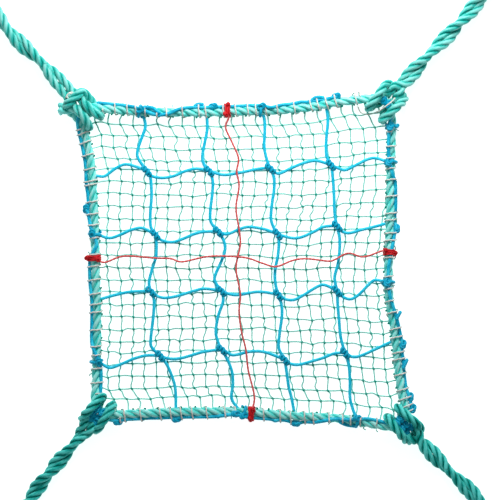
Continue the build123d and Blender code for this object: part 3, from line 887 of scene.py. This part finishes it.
shape = Shape()
for side, (x, y) in MARKER_ENDS.items():
    line = side_lines[side]
    nearest = int(np.argmin(np.hypot(line[:, 0] - x, line[:, 1] - y)))
    middle = float(distances(line)[nearest]) - FIRST_GAP
    wraps = []
    for share in np.linspace(0, 1, 14 * MARKER_TURNS + 1):
        turned = 180 + 360 * MARKER_TURNS * share
        wraps.append(twine_round(side, middle + (share - 0.5) * MARKER_KNOT_LENGTH, turned, MARKER_D))
    shape.rounded(resample(through(wraps, 4), 1.0), MARKER_D / 2, 10, ripple=0.05, yarns=3)
    for angle, shift in ((115, -2), (35, 2)):
        spot = twine_round(side, middle + shift, angle, 2.2 * MARKER_D)
        add_knot(shape, spot, MARKER_D, CHANCE.uniform(30, 150), rings=24, spread=0.3, long=0.7, wide=0.6)
shape.lie_in_net("marker_knots_tied", RED_KNOT, "red_cord", "marker_knots")

# ---------------------------------------------------------------- tie ropes


def twisted(corner, phase, reach):
    """A leg's sideways and upward place, a distance beyond or before the swing axis."""
    turn = 360 * max(0, abs(reach) - PIVOT_REST) / corner.pitch
    if reach < 0:
        turn = -min(turn, corner.turn_in)
    angle = math.radians(phase + turn)
    return TWIST_R * math.cos(angle), TWIST_Z + TWIST_R * math.sin(angle)


def leg_places(corner, phase):
    """A leg as (along the tie, sideways, up), from the swing axis to its far end."""
    steps = math.ceil(corner.length / TWIST_STEP)
    places = []
    for step in range(steps + 1):
        share = step / steps
        sideways, up = twisted(corner, phase, corner.length * share)
        bowed = sideways + corner.bow * math.sin(math.pi * share)
        places.append((corner.pivot + corner.length * share, bowed, up))
    return places


def hitch_half(corner, phase, flipped):
    """Half a cow hitch as (along the tie, sideways, up), from the swing axis to the cross-bar."""
    stop = corner.pivot - ROPE_R
    knot = corner.outward + 15
    steps = max(1, round((stop - knot) / TWIST_STEP))
    run_in = [(corner.pivot, *twisted(corner, phase, 0))]
    for step in range(steps + 1):
        reach = stop + (knot - stop) * step / steps
        run_in.append((reach, *twisted(corner, phase, reach - corner.pivot)))
    side = -1 if phase < 0 else 1
    if corner.turn_in > 120:
        side = -side
    leg = ROPE_R + 0.2
    bar = corner.outward
    around = [
        (bar + 3, leg, 21.8),
        (bar - 6, leg, 19.0),
        (8, leg + 0.4, 7.1),
        (-8, leg + 1, 7.1),
        (-corner.inward, corner.inner, 14),
        (-corner.inward, corner.inner + 1, 28),
        (-7, (corner.inner + corner.outer) / 2, 35.5),
        (8, corner.outer - 1, 35),
        (bar - 9, corner.outer, 26),
        (bar, corner.outer - 2, 14),
        (bar, corner.outer / 2, 7.3),
    ]
    return run_in + [(d, side * e, FLIPPED_Z - z if flipped else z) for d, e, z in around]


for name, corner in CORNERS.items():
    forward = along(corner.direction)
    aside = along(corner.direction + 90)

    def place(d, e, z):
        return Vector((*corner.place, 0)) + forward * d + aside * e + Vector((0, 0, z))

    def axis_place(reach, rise=0.0):
        return place(corner.pivot + reach, 0, TWIST_Z + rise)

    legs = [smooth([place(*p) for p in leg_places(corner, phase)], 12) for phase in (-90, 90)]
    halves = [[place(*p) for p in hitch_half(corner, phase, name == "top_left")] for phase in (-90, 90)]
    hitch = through(halves[0] + halves[1][::-1], 10)
    whole = resample(np.vstack([legs[0][::-1], hitch[1:-1], legs[1]]), 1.6)
    far = distances(whole)
    low_pivot = far[nearest_index(whole, axis_place(0, -TWIST_R))]
    high_pivot = far[nearest_index(whole, axis_place(0, TWIST_R))]
    first = int(np.searchsorted(far, low_pivot + BLEND_BACK))
    second = int(np.searchsorted(far, high_pivot - BLEND_BACK))

    # Painted light: the top ties take the lighter copy and the bottom ties the darker copy that paints
    # their shade
    fibre = ROPE_TIE if name.startswith("top") else ROPE_TIE_PAINTED_SHADE
    shape = Shape()
    lay_strands(shape, whole, first, second + 1)
    shape.lie_in_net(f"tie_hitch_{name}_laid", fibre, "turquoise_rope", f"tie_hitch_{name}")
    for leg, a, b in (("low", 0, first + 1), ("high", second, len(whole))):
        shape = Shape()
        lay_strands(shape, whole, a, b, splay=(0.5, 0.5))
        piece = shape.build(f"tie_{leg}_{name}_laid", fibre, "turquoise_rope")
        path = whole[a:b] if leg == "high" else whole[a:b][::-1]
        tuple(axis_place(-BLEND_BACK) * MM)
        tuple(axis_place(BLEND_ON) * MM)
        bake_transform(piece)
        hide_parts(f"tie_leg_{leg}_{name}")
        float(distances(path)[-1]) * MM

# ---------------------------------------------------------------- stage, light and camera

# In metres, as the lights' places are
VIEW_CENTRE = (0.0098, 0.0212)
VIEW_WIDTH = 0.815
CAMERA_HEIGHT = 3.4  # above the middle of the net's height
NET_MIDDLE_Z = 0.012
FLOOR_SIZE = 8
FLOOR_GLOW = 0.8
SKY_LIGHT = 0.23

bpy.ops.mesh.primitive_plane_add(size=FLOOR_SIZE)
floor = bpy.context.object
floor.name = "floor"
pale = bpy.data.materials.new("pale_floor")
pale.use_nodes = True
paint = pale.node_tree.nodes["Principled BSDF"]
paint.inputs["Base Color"].default_value = (0.85, 0.85, 0.85, 1)
paint.inputs["Roughness"].default_value = 0.9
paint.inputs["Emission Color"].default_value = (1, 1, 1, 1)
paint.inputs["Emission Strength"].default_value = FLOOR_GLOW
floor.data.materials.append(pale)

world = bpy.data.worlds.new("studio")
world.use_nodes = True
sky = world.node_tree.nodes["Background"]
sky.inputs["Color"].default_value = (1, 1, 1, 1)
sky.inputs["Strength"].default_value = SKY_LIGHT
bpy.context.scene.world = world
bpy.context.scene.view_settings.view_transform = "Standard"


def area_light(name, place, size, power):
    data = bpy.data.lights.new(name, "AREA")
    data.size = size
    data.energy = power
    lamp = bpy.data.objects.new(name, data)
    lamp.location = place
    lamp.rotation_euler = (-Vector(place)).to_track_quat("-Z", "Y").to_euler()
    bpy.context.collection.objects.link(lamp)


area_light("key", (0.1, 1.05, 0.8), size=0.55, power=16)
area_light("fill", (-0.9, -0.5, 1.6), size=1.2, power=1.5)

lens = bpy.data.cameras.new("camera")
lens.lens = lens.sensor_width * CAMERA_HEIGHT / VIEW_WIDTH
camera = bpy.data.objects.new("camera", lens)
camera.location = (*VIEW_CENTRE, CAMERA_HEIGHT + NET_MIDDLE_Z)
bpy.context.collection.objects.link(camera)
bpy.context.scene.camera = camera
